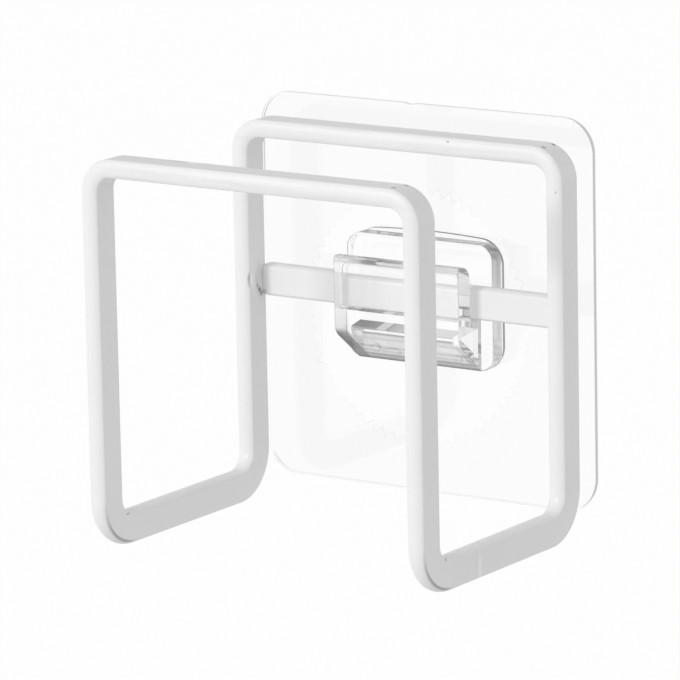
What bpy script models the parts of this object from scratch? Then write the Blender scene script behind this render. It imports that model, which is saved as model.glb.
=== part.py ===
# Self-adhesive sponge holder: a bent flat-bar frame that hangs in a clear hook on a clear square film.
# Metres. +Z is up, and +Y points into the wall. The origin is the centre of the face that sticks to the wall.

import math

import bmesh
import bpy
from mathutils import Vector

# Clearances
LAYER_GAP = 0.0003  # between two bonded layers
SLOT_PLAY = 0.0003  # each side of the crossbar in its slot, and under it
WELD_GAP = 0.0003  # between a crossbar end and the leg that it is welded to

# Sticky layers
FILM_WIDTH = 0.0796
FILM_HEIGHT = 0.0804
FILM_THICKNESS = 0.0004
FILM_CORNER = 0.0070
ADHESIVE_THICKNESS = 0.0006
ADHESIVE_INSET = 0.0002  # the adhesive stops this far short of the film's edge

# Hook: a thick plate, and a slotted block bonded to its front. The block has a pocket in its back.
CLIP_RISE = 0.0005  # plate centre above film centre
CLIP_SHIFT = 0.00125  # hook and holder to the right of the film's centre, as they were stuck on
PLATE_WIDTH = 0.0350
PLATE_HEIGHT = 0.0259
PLATE_THICKNESS = 0.0037
PLATE_CORNER = 0.0032
PLATE_EDGE = 0.0005  # rounding of the plate's rims
BOND_THICKNESS = 0.0004
BOND_SPILL = 0.00015  # how far the bond shows past the plate
BOND_CROWN = 0.0008  # extra spill at the middle of the top and bottom edges
HOOK_WIDTH = 0.0299
HOOK_EDGE = 0.00035  # rounding of the hook's two end faces
WALL_THICKNESS = 0.00455
WALL_DROP = 0.0033  # top of the hook's front wall below the plate's top
LIP_RADIUS = 0.0030  # lead-in at the top of the slot
LIP_EDGE = 0.0007  # rounding of the front wall's top front edge
SLOT_DEPTH = 0.0117
SLOT_FILLET = 0.0010
FLOOR_THICKNESS = 0.0029  # slot floor at the pocket's front corner
FOOT_DROP = 0.00125  # front wall's foot below the pocket's front corner
FOOT_RADIUS = 0.0030  # rounding where the front wall turns into the strut
STRUT_LIFT = 0.0001  # foot of the slanting strut above the plate's lower edge
POCKET_SETBACK = 0.00165  # pocket's front corner behind the front of the wall
POCKET_RISE = 0.0008  # how far the pocket's roof climbs on its way back to the mouth
POCKET_LIFT = 0.0027  # lower edge of the pocket's mouth above the strut's foot
LEFT_CHEEK = 0.0032  # solid ends of the block, left and right of the pocket
RIGHT_CHEEK = 0.0023

# Holder: flat bar bent into one closed loop, with a crossbar between its rear legs
BAR_THICKNESS = 0.0037
BAR_WIDTH = 0.0069
BAR_CROWN = 0.0007  # how far the bar's two narrow faces bow out
FRAME_WIDTH = 0.0789
FRAME_HEIGHT = 0.0798
FRAME_DEPTH = 0.0582
TOP_BEND = 0.0070  # outer radius of the four top bends
FOOT_BEND = 0.0102  # outer radius of the four bottom bends
CROSSBAR_THICKNESS = 0.0034
CROSSBAR_HEIGHT = 0.0069
CROSSBAR_DROP = 0.0308  # crossbar's top below the frame's top
CROSSBAR_SET_BACK = 0.0053  # crossbar's front face behind the rear legs' front face
WELD_THROAT = 0.0006  # how far a weld stands proud of the crossbar
WELD_LENGTH = 0.0014

# Smoothness
BEND_STEPS = 10
EDGE_STEPS = 3
DOME_STEPS = 8  # across a bowed narrow face
CORNER_STEPS = 8
WELD_STEPS = 4
SPAN_STEPS = 8  # along a bowed edge
SMOOTH_ANGLE = math.radians(40)
QUARTER_TURN = math.radians(90)

# Places along Y, from the wall forwards
FILM_BACK = -(ADHESIVE_THICKNESS + LAYER_GAP)
FILM_FRONT = FILM_BACK - FILM_THICKNESS
BOND_BACK = FILM_FRONT - LAYER_GAP
BOND_FRONT = BOND_BACK - BOND_THICKNESS
PLATE_BACK = BOND_FRONT - LAYER_GAP
PLATE_FRONT = PLATE_BACK - PLATE_THICKNESS
CROSSBAR_BACK = PLATE_FRONT - SLOT_PLAY
CROSSBAR_FRONT = CROSSBAR_BACK - CROSSBAR_THICKNESS
SLOT_FRONT = CROSSBAR_FRONT - SLOT_PLAY
WALL_FRONT = SLOT_FRONT - WALL_THICKNESS
BLOCK_BACK = PLATE_FRONT - LAYER_GAP

# Heights
PLATE_TOP = CLIP_RISE + PLATE_HEIGHT / 2
PLATE_BOTTOM = CLIP_RISE - PLATE_HEIGHT / 2
WALL_TOP = PLATE_TOP - WALL_DROP
SLOT_FLOOR = WALL_TOP - SLOT_DEPTH
POCKET_CORNER = SLOT_FLOOR - FLOOR_THICKNESS
WALL_FOOT = POCKET_CORNER - FOOT_DROP
STRUT_FOOT = PLATE_BOTTOM + STRUT_LIFT
CROSSBAR_BOTTOM = SLOT_FLOOR + SLOT_PLAY

# The holder's own centre is the middle of its crossbar
CROSSBAR_MIDDLE = CROSSBAR_BOTTOM + CROSSBAR_HEIGHT / 2
HOLDER_CENTRE = Vector((CLIP_SHIFT, (CROSSBAR_FRONT + CROSSBAR_BACK) / 2, CROSSBAR_MIDDLE))
FRAME_TOP = CROSSBAR_HEIGHT / 2 + CROSSBAR_DROP
FRAME_BOTTOM = FRAME_TOP - FRAME_HEIGHT
REAR_LEG_FRONT = -CROSSBAR_THICKNESS / 2 - CROSSBAR_SET_BACK
FRAME_BACK = REAR_LEG_FRONT + BAR_WIDTH
FRAME_FRONT = FRAME_BACK - FRAME_DEPTH

RIGHT = Vector((1, 0, 0))
BACK = Vector((0, 1, 0))
UP = Vector((0, 0, 1))


def clear_scene():
    for old in list(bpy.data.objects):
        bpy.data.objects.remove(old, do_unlink=True)


def painted_steel():
    material = bpy.data.materials.new("white_powder_coat")
    material.use_nodes = True
    shader = material.node_tree.nodes["Principled BSDF"]
    shader.inputs["Base Color"].default_value = (0.84, 0.84, 0.85, 1)
    shader.inputs["Roughness"].default_value = 0.42
    shader.inputs["Metallic"].default_value = 0
    return material


def clear_plastic(name, colour, roughness, ior):
    material = bpy.data.materials.new(name)
    material.use_nodes = True
    shader = material.node_tree.nodes["Principled BSDF"]
    shader.inputs["Base Color"].default_value = colour
    shader.inputs["Roughness"].default_value = roughness
    shader.inputs["Metallic"].default_value = 0
    shader.inputs["IOR"].default_value = ior
    shader.inputs["Transmission Weight"].default_value = 1
    return material


def add_object(name, shape, material, location=(0, 0, 0), parent=None):
    """Turn a bmesh into a named object whose origin is at the given place."""
    bmesh.ops.recalc_face_normals(shape, faces=shape.faces)
    mesh = bpy.data.meshes.new(name)
    shape.to_mesh(mesh)
    shape.free()
    mesh.shade_smooth()
    mesh.set_sharp_from_angle(angle=SMOOTH_ANGLE)
    mesh.materials.append(material)
    made = bpy.data.objects.new(name, mesh)
    made.location = location
    made.parent = parent
    bpy.context.scene.collection.objects.link(made)
    return made


def arc(centre, radius, start, end, steps):
    """Points (u, v) round part of a circle, with the angles in degrees."""
    points = []
    for step in range(steps + 1):
        angle = math.radians(start + (end - start) * step / steps)
        points.append((centre[0] + radius * math.cos(angle), centre[1] + radius * math.sin(angle)))
    return points


def rounded_rectangle(width, height, radius, steps):
    """Anticlockwise outline (u, v) about the origin."""
    across = width / 2 - radius
    along = height / 2 - radius
    outline = arc((across, along), radius, 0, 90, steps)
    outline += arc((-across, along), radius, 90, 180, steps)
    outline += arc((-across, -along), radius, 180, 270, steps)
    outline += arc((across, -along), radius, 270, 360, steps)
    return outline


def bar_section(thickness, width):
    """Anticlockwise outline of rolled flat bar: flat wide faces, and narrow ones that bow out."""
    shoulder = width / 2 - BAR_CROWN
    outline = []
    for side in (1, -1):
        for step in range(DOME_STEPS + 1):
            angle = math.pi * step / DOME_STEPS
            across = side * thickness / 2 * math.cos(angle)
            outline.append((across, side * (shoulder + BAR_CROWN * math.sin(angle))))
    return outline


def crowned_rectangle(width, height, radius, crown):
    """A rounded rectangle whose top and bottom edges bow outwards by the crown at the middle."""
    corners = rounded_rectangle(width, height, radius, CORNER_STEPS)
    outline = []
    for first, second in zip(corners, corners[1:] + corners[:1]):
        outline.append(first)
        # A long level edge gets points of its own, which the crown then lifts.
        if abs(second[0] - first[0]) > radius:
            for step in range(1, SPAN_STEPS):
                outline.append((first[0] + (second[0] - first[0]) * step / SPAN_STEPS, first[1]))
    bowed = []
    for u, v in outline:
        bow = crown * (1 - (2 * u / width) ** 2)
        bowed.append((u, v * (1 + 2 * bow / height)))
    return bowed


def prism(outline, place, way):
    """Solid of a flat outline, whose points place() puts in space, pushed along one way."""
    shape = bmesh.new()
    face = shape.faces.new([shape.verts.new(place(u, v)) for u, v in outline])
    pushed = bmesh.ops.extrude_face_region(shape, geom=[face])
    moved = [item for item in pushed["geom"] if isinstance(item, bmesh.types.BMVert)]
    bmesh.ops.translate(shape, verts=moved, vec=way)
    bmesh.ops.recalc_face_normals(shape, faces=shape.faces)
    return shape


def round_end_rims(shape, radius):
    """Bevel the rims of a prism's two end faces, the ones with the most corners."""
    most = max(len(face.verts) for face in shape.faces)
    rims = {edge for face in shape.faces if len(face.verts) == most for edge in face.edges}
    bmesh.ops.bevel(shape, geom=list(rims), offset=radius, segments=EDGE_STEPS, affect="EDGES", profile=0.5)


def sheet(outline, back, thickness):
    """A flat layer facing the room, its rear face in the plane Y = back."""
    return prism(outline, lambda u, v: Vector((u, back, v)), -thickness * BACK)


def bend(corner, way_in, way_out, outer_radius, edgewise):
    """Stations round a right-angled bend of flat bar: centre, thickness direction, width direction.

    A bar bent flatwise turns over its thickness. Bent edgewise, it turns over its width.
    """
    depth = BAR_WIDTH if edgewise else BAR_THICKNESS
    radius = outer_radius - depth / 2
    centre = corner + radius * (way_out - way_in)
    stations = []
    for step in range(BEND_STEPS + 1):
        angle = QUARTER_TURN * step / BEND_STEPS
        along = math.cos(angle) * way_in + math.sin(angle) * way_out
        inward = math.cos(angle) * way_out - math.sin(angle) * way_in
        thin = along.cross(inward) if edgewise else -inward
        wide = inward if edgewise else thin.cross(along)
        stations.append((centre - radius * inward, thin, wide))
    return stations


def swept_rings(shape, stations, outlines):
    """One ring of vertices at each station."""
    rings = []
    for (centre, thin, wide), outline in zip(stations, outlines):
        rings.append([shape.verts.new(centre + u * thin + v * wide) for u, v in outline])
    return rings


def skin(shape, rings):
    """Faces between each ring and the next."""
    for first, second in zip(rings, rings[1:]):
        count = len(first)
        for index in range(count):
            after = (index + 1) % count
            shape.faces.new((first[index], first[after], second[after], second[index]))


def build_adhesive_layer():
    width = FILM_WIDTH - 2 * ADHESIVE_INSET
    height = FILM_HEIGHT - 2 * ADHESIVE_INSET
    outline = rounded_rectangle(width, height, FILM_CORNER - ADHESIVE_INSET, CORNER_STEPS)
    material = clear_plastic("clear_gel_adhesive", (0.97, 0.98, 0.98, 1), 0.12, 1.47)
    add_object("adhesive_layer", sheet(outline, 0, ADHESIVE_THICKNESS), material)


def build_backing_film():
    outline = rounded_rectangle(FILM_WIDTH, FILM_HEIGHT, FILM_CORNER, CORNER_STEPS)
    material = clear_plastic("clear_film", (0.98, 0.98, 0.98, 1), 0.06, 1.57)
    add_object("backing_film", sheet(outline, FILM_BACK, FILM_THICKNESS), material)


def build_clip_bond():
    width = PLATE_WIDTH + 2 * BOND_SPILL
    height = PLATE_HEIGHT + 2 * BOND_SPILL
    outline = crowned_rectangle(width, height, PLATE_CORNER + BOND_SPILL, BOND_CROWN)
    material = clear_plastic("clear_bond", (0.96, 0.97, 0.97, 1), 0.1, 1.5)
    add_object("clip_bond", sheet(outline, 0, BOND_THICKNESS), material, (CLIP_SHIFT, BOND_BACK, CLIP_RISE))


def build_hook_plate():
    outline = rounded_rectangle(PLATE_WIDTH, PLATE_HEIGHT, PLATE_CORNER, CORNER_STEPS)
    plate = sheet(outline, 0, PLATE_THICKNESS)
    round_end_rims(plate, PLATE_EDGE)
    material = clear_plastic("clear_polycarbonate_plate", (0.98, 0.985, 0.985, 1), 0.03, 1.58)
    add_object("hook_plate", plate, material, (CLIP_SHIFT, PLATE_BACK, CLIP_RISE))


def block_outline():
    """Section (Y, Z) through the hook block: slanting strut, front wall, slot and slot floor."""
    # The outside of the wall's foot is rounded, from the strut's slant to the upright wall.
    slant = math.atan2(BLOCK_BACK - WALL_FRONT, WALL_FOOT - STRUT_FOOT)
    foot_centre = (WALL_FRONT + FOOT_RADIUS, WALL_FOOT + FOOT_RADIUS * math.tan(slant / 2))
    outline = [(BLOCK_BACK, STRUT_FOOT)]
    outline += arc(foot_centre, FOOT_RADIUS, 180 + math.degrees(slant), 180, CORNER_STEPS)
    outline += arc((WALL_FRONT + LIP_EDGE, WALL_TOP - LIP_EDGE), LIP_EDGE, 180, 90, EDGE_STEPS)
    outline += arc((SLOT_FRONT - LIP_RADIUS, WALL_TOP - LIP_RADIUS), LIP_RADIUS, 90, 0, CORNER_STEPS)
    outline += arc((SLOT_FRONT + SLOT_FILLET, SLOT_FLOOR + SLOT_FILLET), SLOT_FILLET, 180, 270, EDGE_STEPS)
    outline.append((BLOCK_BACK, SLOT_FLOOR))
    return outline


def pocket_outline(past):
    """Section (Y, Z) of the three-cornered pocket, carried on past the block's back so that it cuts clean."""
    corner_depth = BLOCK_BACK - WALL_FRONT - POCKET_SETBACK
    mouth_floor = STRUT_FOOT + POCKET_LIFT
    front = (WALL_FRONT + POCKET_SETBACK, POCKET_CORNER)
    roof = POCKET_CORNER + POCKET_RISE * (corner_depth + past) / corner_depth
    return [(BLOCK_BACK + past, mouth_floor), (BLOCK_BACK, mouth_floor), front, (BLOCK_BACK + past, roof)]


def build_hook_block():
    material = clear_plastic("clear_polycarbonate_block", (0.98, 0.985, 0.985, 1), 0.03, 1.58)
    origin = Vector((CLIP_SHIFT, BLOCK_BACK, CLIP_RISE))

    left_end = -HOOK_WIDTH / 2
    block = prism(
        block_outline(),
        lambda y, z: Vector((left_end, y, z - CLIP_RISE)) - BLOCK_BACK * BACK,
        HOOK_WIDTH * RIGHT,
    )
    round_end_rims(block, HOOK_EDGE)
    made = add_object("hook_block", block, material, origin)

    pocket_left = left_end + LEFT_CHEEK
    pocket_width = HOOK_WIDTH - LEFT_CHEEK - RIGHT_CHEEK
    pocket = prism(
        pocket_outline(PLATE_THICKNESS),
        lambda y, z: Vector((pocket_left, y, z - CLIP_RISE)) - BLOCK_BACK * BACK,
        pocket_width * RIGHT,
    )
    form = add_object("hook_pocket_form", pocket, material, origin)
    form.hide_render = True
    form.display_type = "WIRE"
    cut = made.modifiers.new("cut_pocket", "BOOLEAN")
    cut.operation = "DIFFERENCE"
    cut.solver = "EXACT"
    cut.object = form


def build_holder_frame(holder):
    side = (FRAME_WIDTH - BAR_THICKNESS) / 2
    top = FRAME_TOP - BAR_THICKNESS / 2
    runner = FRAME_BOTTOM + BAR_WIDTH / 2
    front = FRAME_FRONT + BAR_WIDTH / 2
    rear = FRAME_BACK - BAR_WIDTH / 2
    # Round the loop: over the front arch, back on the right runner, over the rear arch and home on the left.
    bends = [
        (-side, front, top, UP, RIGHT, False),
        (side, front, top, RIGHT, -UP, False),
        (side, front, runner, -UP, BACK, True),
        (side, rear, runner, BACK, UP, True),
        (side, rear, top, UP, -RIGHT, False),
        (-side, rear, top, -RIGHT, -UP, False),
        (-side, rear, runner, -UP, -BACK, True),
        (-side, front, runner, -BACK, UP, True),
    ]
    stations = []
    for x, y, z, way_in, way_out, edgewise in bends:
        outer_radius = FOOT_BEND if edgewise else TOP_BEND
        stations += bend(Vector((x, y, z)), way_in, way_out, outer_radius, edgewise)
    section = bar_section(BAR_THICKNESS, BAR_WIDTH)
    shape = bmesh.new()
    rings = swept_rings(shape, stations, [section] * len(stations))
    skin(shape, rings + rings[:1])
    add_object("holder_frame", shape, painted_steel(), parent=holder)


def build_crossbar(holder):
    half = FRAME_WIDTH / 2 - BAR_THICKNESS - WELD_GAP
    places = []
    for step in range(WELD_STEPS + 1):
        part = step / WELD_STEPS
        # A weld fillet is hollow: steep at the leg and flat where it dies out along the bar.
        places.append((half - WELD_LENGTH * part, WELD_THROAT * (1 - part) ** 2))
    places = [(-x, proud) for x, proud in places] + [(x, proud) for x, proud in reversed(places)]
    stations = []
    outlines = []
    for x, proud in places:
        stations.append((Vector((x, 0, 0)), BACK, UP))
        outline = bar_section(CROSSBAR_THICKNESS, CROSSBAR_HEIGHT + 2 * proud)
        # The weld stands proud in front, where the leg is, and at the top and the bottom.
        outlines.append([(u - proud if u < 0 else u, v) for u, v in outline])
    shape = bmesh.new()
    rings = swept_rings(shape, stations, outlines)
    skin(shape, rings)
    shape.faces.new(rings[0])
    shape.faces.new(list(reversed(rings[-1])))
    add_object("crossbar", shape, painted_steel(), parent=holder)


def main():
    clear_scene()
    build_adhesive_layer()
    build_backing_film()
    build_clip_bond()
    build_hook_plate()
    build_hook_block()
    # The holder lifts straight up from here, out of the slot.
    holder = bpy.data.objects.new("holder_lift_axis", None)
    holder.location = HOLDER_CENTRE
    bpy.context.scene.collection.objects.link(holder)
    build_holder_frame(holder)
    build_crossbar(holder)


main()
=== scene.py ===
import math

import bmesh
import bpy
from mathutils import Matrix, Vector, noise


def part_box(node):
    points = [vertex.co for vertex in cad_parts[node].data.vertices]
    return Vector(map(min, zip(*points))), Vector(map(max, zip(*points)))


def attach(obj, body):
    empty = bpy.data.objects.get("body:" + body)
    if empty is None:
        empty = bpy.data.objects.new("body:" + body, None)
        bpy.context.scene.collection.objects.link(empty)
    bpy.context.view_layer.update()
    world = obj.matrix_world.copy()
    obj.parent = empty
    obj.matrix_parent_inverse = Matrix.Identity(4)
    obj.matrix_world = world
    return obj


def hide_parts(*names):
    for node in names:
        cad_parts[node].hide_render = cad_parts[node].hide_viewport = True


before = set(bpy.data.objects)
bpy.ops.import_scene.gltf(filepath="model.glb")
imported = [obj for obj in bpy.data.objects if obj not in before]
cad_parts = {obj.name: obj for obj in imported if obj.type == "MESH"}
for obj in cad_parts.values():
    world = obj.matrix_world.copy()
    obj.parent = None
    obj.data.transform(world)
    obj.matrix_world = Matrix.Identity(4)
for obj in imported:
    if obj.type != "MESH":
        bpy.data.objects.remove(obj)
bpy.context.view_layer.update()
print("frame loaded:", ", ".join(sorted(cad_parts)))

mm = 0.001
right = Vector((1, 0, 0))
back = Vector((0, 1, 0))
up = Vector((0, 0, 1))
quarterTurn = math.radians(90)
sharpAngle = math.radians(35)  # edges that turn more than this stay sharp
squareOn = 0.99  # a face looks along Y when its normal does by at least this share


# Camera at the photo's viewing angle

photoCamera = {
    "place": (0.589651, -0.901685, 0.224158),
    "yaw": 34.162,  # degrees round to the object's right
    "down": 12.18,
    "roll": -1.124,
    "lens": 286.854,  # mm, on a sensor 36 mm wide
    "nearest": 0.05,
    "furthest": 12,
}


def makeCamera(setup):
    yaw = math.radians(setup["yaw"])
    down = math.radians(setup["down"])
    roll = math.radians(setup["roll"])
    ahead = Vector((-math.sin(yaw) * math.cos(down), math.cos(yaw) * math.cos(down), -math.sin(down)))
    level = Vector((math.cos(yaw), math.sin(yaw), 0))
    above = level.cross(ahead)
    across = math.cos(roll) * level + math.sin(roll) * above
    upright = math.cos(roll) * above - math.sin(roll) * level
    turn = Matrix((across, upright, -ahead)).transposed().to_4x4()
    lens = bpy.data.cameras.new("photoCamera")
    lens.lens = setup["lens"]
    lens.clip_start = setup["nearest"]
    lens.clip_end = setup["furthest"]
    camera = bpy.data.objects.new("photoCamera", lens)
    camera.matrix_world = Matrix.Translation(setup["place"]) @ turn
    bpy.context.scene.collection.objects.link(camera)
    bpy.context.scene.camera = camera


makeCamera(photoCamera)
print("camera placed")


# Small helpers for nodes and meshes


def toLinear(code):
    # An sRGB hex colour as the linear one that a shader takes.
    channels = []
    for start in (1, 3, 5):
        value = int(code[start:start + 2], 16) / 255
        channels.append(value / 12.92 if value <= 0.04045 else ((value + 0.055) / 1.055) ** 2.4)
    return (*channels, 1)


def linkNodes(tree, node, inputs):
    # An input is a value, a socket, or a node, which is linked by its first output in use.
    for socket, value in inputs.items():
        if isinstance(value, bpy.types.Node):
            value = next(output for output in value.outputs if output.enabled)
        if isinstance(value, bpy.types.NodeSocket):
            tree.links.new(value, node.inputs[socket])
        else:
            node.inputs[socket].default_value = value


def addNode(tree, kind, settings=None, inputs=None):
    node = tree.nodes.new("ShaderNode" + kind)
    for name, value in (settings or {}).items():
        setattr(node, name, value)
    linkNodes(tree, node, inputs or {})
    return node


# Settings that many nodes share
smooth = {"interpolation_type": "SMOOTHSTEP"}
multiply = {"operation": "MULTIPLY"}
subtract = {"operation": "SUBTRACT"}
absolute = {"operation": "ABSOLUTE"}
moreThan = {"operation": "GREATER_THAN"}
lengthOf = {"operation": "LENGTH"}
mixColours = {"data_type": "RGBA"}


def newMaterial(name):
    material = bpy.data.materials.new(name)
    material.use_nodes = True
    tree = material.node_tree
    place = addNode(tree, "TexCoord").outputs["Object"]
    parts = addNode(tree, "SeparateXYZ", inputs={"Vector": place}).outputs
    return material, tree, tree.nodes["Principled BSDF"], place, parts


def addPiece(name, shape, material, body, slot, nodes):
    mesh = bpy.data.meshes.new(name)
    shape.to_mesh(mesh)
    shape.free()
    mesh.shade_smooth()
    mesh.set_sharp_from_angle(angle=sharpAngle)
    mesh.materials.append(material)
    piece = bpy.data.objects.new(name, mesh)
    bpy.context.scene.collection.objects.link(piece)
    # Flat faces keep their own normal, and the small roundings take up the turn.
    weighted = piece.modifiers.new("flatFaces", "WEIGHTED_NORMAL")
    weighted.keep_sharp = True
    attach(piece, body)
    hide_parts(*nodes)
    # Soft light passes through the clear pieces on its way to painted ones.
    piece.visible_diffuse = not slot.startswith("clear")


def roundArc(centre, radius, start, end, steps):
    # Points round part of a circle, with the angles in degrees.
    points = []
    for step in range(steps + 1):
        angle = math.radians(start + (end - start) * step / steps)
        points.append((centre[0] + radius * math.cos(angle), centre[1] + radius * math.sin(angle)))
    return points


def roundedRectangle(width, height, radius, steps):
    across = width / 2 - radius
    along = height / 2 - radius
    outline = []
    for corner, (u, v) in enumerate(((1, 1), (-1, 1), (-1, -1), (1, -1))):
        outline += roundArc((u * across, v * along), radius, 90 * corner, 90 * corner + 90, steps)
    return outline


def prism(outline, place, way):
    shape = bmesh.new()
    face = shape.faces.new([shape.verts.new(place(u, v)) for u, v in outline])
    pushed = bmesh.ops.extrude_face_region(shape, geom=[face])
    moved = [item for item in pushed["geom"] if isinstance(item, bmesh.types.BMVert)]
    bmesh.ops.translate(shape, verts=moved, vec=way)
    bmesh.ops.recalc_face_normals(shape, faces=shape.faces)
    return shape


def roundRims(shape, radius, steps, side=0):
    # Rounds the rims of a prism's end faces, the ones with the most corners: both, or one side's.
    most = max(len(face.verts) for face in shape.faces)
    ends = [face for face in shape.faces if len(face.verts) == most and face.normal.y * side >= 0]
    rims = [edge for face in ends for edge in face.edges]
    bmesh.ops.bevel(shape, geom=rims, offset=radius, segments=steps, affect="EDGES", profile=0.5)


def sweep(rings, closed):
    shape = bmesh.new()
    made = [[shape.verts.new(point) for point in ring] for ring in rings]
    followers = made[1:] + made[:1] if closed else made[1:]
    for first, second in zip(made, followers):
        for index in range(len(first)):
            after = (index + 1) % len(first)
            shape.faces.new((first[index], first[after], second[after], second[index]))
    if not closed:
        shape.faces.new(made[0])
        shape.faces.new(made[-1])
    bmesh.ops.recalc_face_normals(shape, faces=shape.faces)
    return shape


def openCap(shape, side):
    # Takes away the largest face on one side along Y, and gives its outline and the rim that it leaves.
    facing = [face for face in shape.faces if face.normal.y * side > squareOn]
    cap = max(facing, key=lambda face: face.calc_area())
    rim = list(cap.edges)
    outline = [vert.co.copy() for vert in cap.verts]
    bmesh.ops.delete(shape, geom=[cap], context="FACES_ONLY")
    return outline, rim


def addLoop(shape, loop):
    verts = [shape.verts.new(point) for point in loop]
    return [shape.edges.new(pair) for pair in zip(verts, verts[1:] + verts[:1])]


def takeIn(shape, other):
    # Moves all of another shape into this one.
    mesh = bpy.data.meshes.new("passing")
    other.to_mesh(mesh)
    other.free()
    shape.from_mesh(mesh)


def fillBetween(shape, edges, side):
    # Flat faces between an outer rim and an inner one, or inside a single rim.
    made = bmesh.ops.triangle_fill(shape, use_beauty=True, edges=edges)
    for item in made["geom"]:
        if isinstance(item, bmesh.types.BMFace):
            item.normal_update()
            if item.normal.y * side < 0:
                item.normal_flip()


# White powder coat on mild steel, sprayed and baked: a satin skin with fine orange peel.

powderCoat = {
    "colour": "#F0F0F0",
    "colourThin": "#EBEBEB",  # where the coat is a little thinner
    "ior": 1.5,
    "roughness": 0.42,
    "roughnessSpread": 0.05,
    "peelPitch": 0.7 * mm,  # real peel is about 0.4 mm, drawn coarser so that it shows
    "peelDepth": 0.012 * mm,
    "cloudSize": 14 * mm,
    "streakPitch": 0.9 * mm,  # rolling streaks under the coat, along the top bars
    "streakLength": 22 * mm,
    "streakColour": "#DEDEDE",
    "streakShare": 0.5,
    "streakRange": (0.5, 0.75),  # of a noise, between which a streak comes up
    "streakDepth": 5 * mm,  # how far down from the top they go
    "streakFade": 1 * mm,
    "edgeShadeColour": "#8A8A8A",  # painted shade: a grey line along the outer edges of the front foot bends
    "edgeShadeShare": 0.7,
    "edgeShadeLine": (0.1 * mm, 0.42 * mm),  # half width of the line, and of its soft rim
    "edgeShadeFade": (8 * mm, 3 * mm),  # it comes up over these lengths, downwards and forwards
    "markWobble": 0.25 * mm,
    "markGrain": 0.8 * mm,
    "markSoft": (0.3, 1.4),  # shares of its reach at which a mark starts to fade and is gone
}
# Marks in the coat, and painted shade, in mm: centre, reach along X, Y and Z, colour.
coatMarksAndShade = [
    ((-34.5, -58.3, -36.65), (0.6, 0.65, 0.28), "#B8B8B8"),  # painted shade inside the front foot bends
    ((40.7, -57.9, -36.45), (0.6, 0.5, 0.35), "#8E8E8E"),
    ((40.7, -46.0, -41.0), (0.5, 0.7, 2.8), "#F8F8F8"),  # dressed weld seam on the right runner
    ((40.7, -47.3, -39.6), (0.5, 0.3, 2.4), "#E6E6E6"),
    ((-14.6, -60.9, 36.45), (1.7, 0.5, 0.3), "#FFFFFF"),  # joint mark on the front top bar
    ((-18.4, -60.6, 36.45), (2.2, 0.5, 0.3), "#D4D4D4"),
    ((35.7, -13.0, 36.15), (0.6, 0.4, 0.5), "#848484"),  # chips at the top right corners
    ((35.75, -9.45, 36.15), (0.6, 0.4, 0.6), "#848484"),
    ((34.2, -64.1, 36.4), (0.6, 0.5, 0.8), "#A6A6A6"),
    ((34.8, -60.7, 36.3), (0.6, 0.4, 0.6), "#B4B4B4"),
    ((14.5, -15.0, 35.7), (0.34, 1.2, 0.16), "#B4B4B4"),  # pinholes
    ((39.5, -15.0, 27.8), (0.16, 1.2, 0.34), "#B8B8B8"),
    ((-34.6, -14.4, 3.0), (0.7, 0.24, 1.5), "#B4B4B4"),  # painted shade and highlight of the dent left by the clamp at the left weld
    ((-34.5, -13.7, 2.9), (0.5, 0.55, 1.3), "#FFFFFF"),
    ((-34.5, -11.2, 3.0), (0.5, 1.0, 3.6), "#E2E2E2"),  # painted shade in the corner where the weld meets the leg, with pores at its toe
    ((-34.5, -12.1, 2.4), (0.5, 0.25, 1.8), "#D0D0D0"),
    ((-34.5, -11.6, 1.3), (0.5, 0.4, 0.6), "#B4B4B4"),
    ((-34.4, -11.0, 0.4), (0.6, 0.5, 0.6), "#8A8A8A"),
    ((-34.2, -10.4, -0.4), (0.8, 0.6, 0.7), "#9A9A9A"),
    ((1.2, -8.3, -1.85), (22.0, 4.6, 1.0), "#8E8E8E"),  # painted shade where it rests in the slot
]


def addMarksAndShade(tree, place, colour, marksAndShade, finish):
    # Lays each mark, or patch of painted shade, over the colour, with a slightly uneven outline.
    wobble = finish["markWobble"]
    core, end = finish["markSoft"]
    stir = addNode(tree, "TexNoise", inputs={
        "Vector": place, "Scale": 1 / finish["markGrain"], "Detail": 2,
    })
    shift = addNode(tree, "VectorMath", {"operation": "MULTIPLY_ADD"}, {
        0: stir.outputs["Color"], 1: (2 * wobble,) * 3, 2: (-wobble,) * 3,
    })
    stirred = addNode(tree, "VectorMath", {"operation": "ADD"}, {0: place, 1: shift})
    for centre, reach, tone in marksAndShade:
        offset = addNode(tree, "VectorMath", subtract, {
            0: stirred, 1: [value * mm for value in centre],
        })
        scaled = addNode(tree, "VectorMath", {"operation": "DIVIDE"}, {
            0: offset, 1: [value * mm for value in reach],
        })
        distance = addNode(tree, "VectorMath", lengthOf, {0: scaled})
        inside = addNode(tree, "MapRange", smooth, {
            "Value": distance, "From Min": core, "From Max": end, "To Min": 1, "To Max": 0,
        })
        colour = addNode(tree, "Mix", mixColours, {
            "Factor": inside, "A": colour, "B": toLinear(tone),
        })
    return colour


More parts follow.
